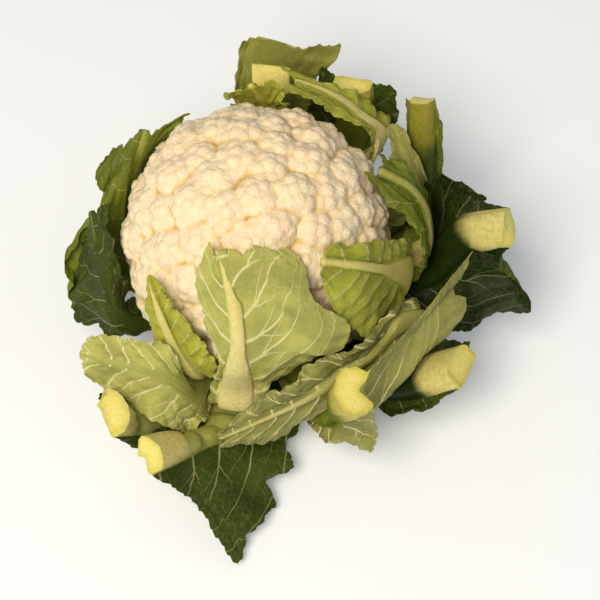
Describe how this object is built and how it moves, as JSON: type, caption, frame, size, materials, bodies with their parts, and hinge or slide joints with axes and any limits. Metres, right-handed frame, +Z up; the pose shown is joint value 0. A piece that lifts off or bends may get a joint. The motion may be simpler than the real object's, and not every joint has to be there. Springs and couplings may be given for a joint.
{
  "type": "cauliflower",
  "caption": "Cauliflower head: a cream curd of florets on a cut stem, wrapped in trimmed green leaves with thick pale ribs.",
  "frame": {"origin": "centre of the flat cut face of the stem, on which the head stands", "axes": "+Z up along the stem towards the top of the curd; +Y towards the back of the head, away from the broad pale leaf that stands in front of the curd; +X to the right seen from the front"},
  "size_m": [0.277, 0.2974, 0.1543],
  "materials": {
    "Curd": "matte, waxy, grainy cream florets",
    "Stem": "smooth pale green skin and a moist cut face",
    "Leaf_inner": "light yellow-green waxy blade with a cream rib and veins",
    "Leaf_middle": "mid green waxy blade, paler below, with a pale rib and veins",
    "Leaf_outer": "dark green waxy blade, olive below, with a thick pale rib"
  },
  "bodies": {
    "root": {"Curd": "Curd", "Stem": "Stem", "Leaf_RightInner": "Leaf_inner", "Leaf_CurlRight": "Leaf_inner", "Leaf_PaleUpperRight": "Leaf_inner", "Leaf_OverTop": "Leaf_inner", "Leaf_BackFrill": "Leaf_inner", "Leaf_FrontLeftNarrow": "Leaf_inner", "Leaf_FrontBroad": "Leaf_inner", "Leaf_Left": "Leaf_middle", "Leaf_UpperRight": "Leaf_middle", "Leaf_FrontBent": "Leaf_middle", "Leaf_FrontRightCut": "Leaf_middle", "Leaf_Right": "Leaf_middle", "Leaf_FrontLeft": "Leaf_middle", "Leaf_Back": "Leaf_outer", "Leaf_UpperLeft": "Leaf_outer", "Leaf_TallRib": "Leaf_outer", "Leaf_LowerRightCut": "Leaf_outer", "Leaf_LowerLeftCut": "Leaf_outer", "Leaf_FrontDrooping": "Leaf_outer"}
  },
  "joints": []
}
